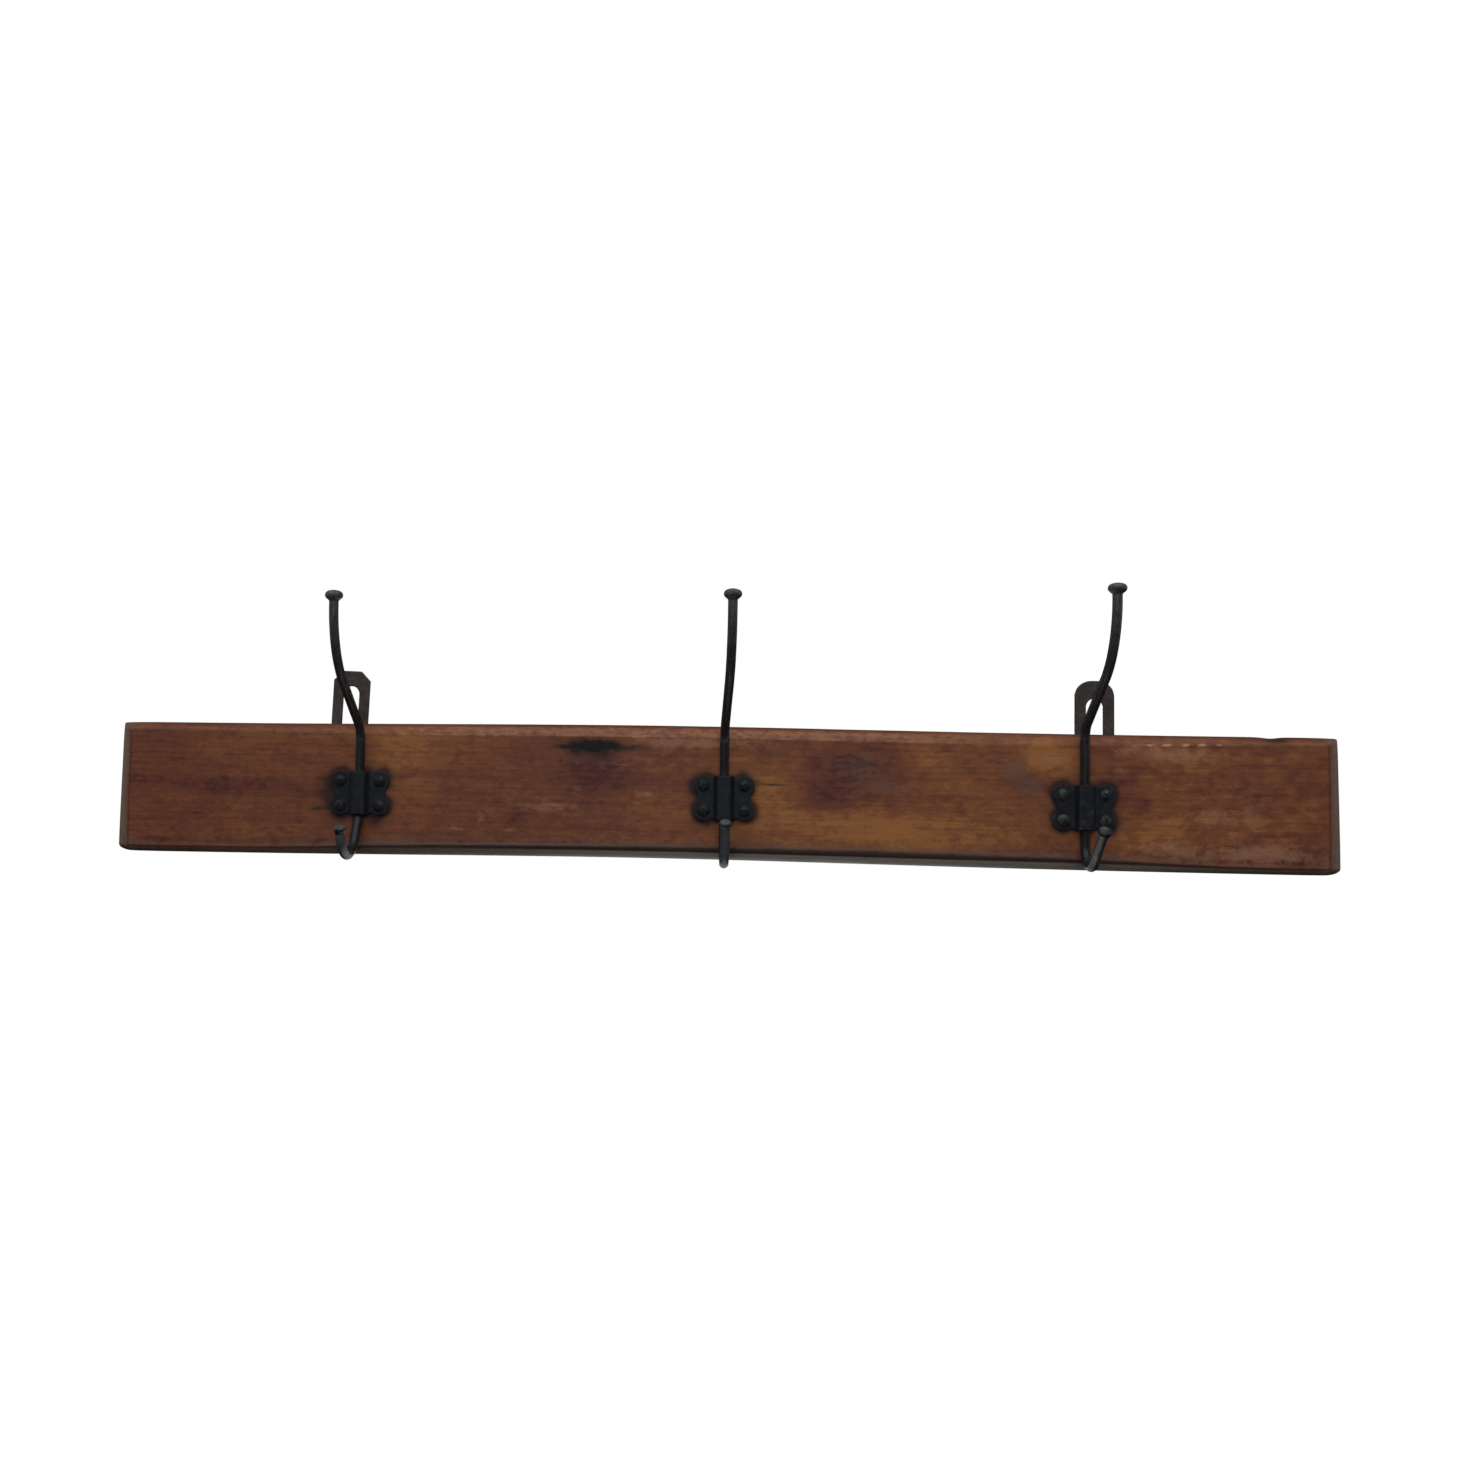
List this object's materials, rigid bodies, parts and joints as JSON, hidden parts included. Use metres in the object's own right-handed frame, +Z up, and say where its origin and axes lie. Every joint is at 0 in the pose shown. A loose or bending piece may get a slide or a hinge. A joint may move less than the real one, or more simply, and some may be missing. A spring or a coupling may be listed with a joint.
{
  "type": "wall hook rack",
  "caption": "Dark-stained wooden wall board with black bent-rod coat hooks clamped by lobed, screwed plates, hung from the wall by slotted iron brackets behind its top edge.",
  "frame": {"origin": "centre of the board's back face, which lies against the wall", "axes": "+X along the board to the right as seen from the front, +Y into the wall, +Z up"},
  "size_m": [0.809, 0.1033, 0.1765],
  "materials": {
    "board": "old dark stain and varnish, worn to bare wood along the arrises",
    "hook_rod": "satin black, worn to grey steel on the lower hooks",
    "plate": "satin black with worn edges",
    "plate_screw": "blackened, rubbed on top",
    "bracket": "brown rust patina",
    "bracket_screw": "dull and lightly rusted"
  },
  "bodies": {
    "root": {"board": "board", "hook_left": "hook_rod", "hook_middle": "hook_rod", "hook_right": "hook_rod", "plate_left": "plate", "plate_middle": "plate", "plate_right": "plate", "plate_screw_left_upper_left": "plate_screw", "plate_screw_left_upper_right": "plate_screw", "plate_screw_left_lower_left": "plate_screw", "plate_screw_left_lower_right": "plate_screw", "plate_screw_middle_upper_left": "plate_screw", "plate_screw_middle_upper_right": "plate_screw", "plate_screw_middle_lower_left": "plate_screw", "plate_screw_middle_lower_right": "plate_screw", "plate_screw_right_upper_left": "plate_screw", "plate_screw_right_upper_right": "plate_screw", "plate_screw_right_lower_left": "plate_screw", "plate_screw_right_lower_right": "plate_screw", "bracket_left": "bracket", "bracket_right": "bracket", "bracket_screw_left_upper": "bracket_screw", "bracket_screw_left_lower": "bracket_screw", "bracket_screw_right_upper": "bracket_screw", "bracket_screw_right_lower": "bracket_screw"}
  },
  "joints": []
}
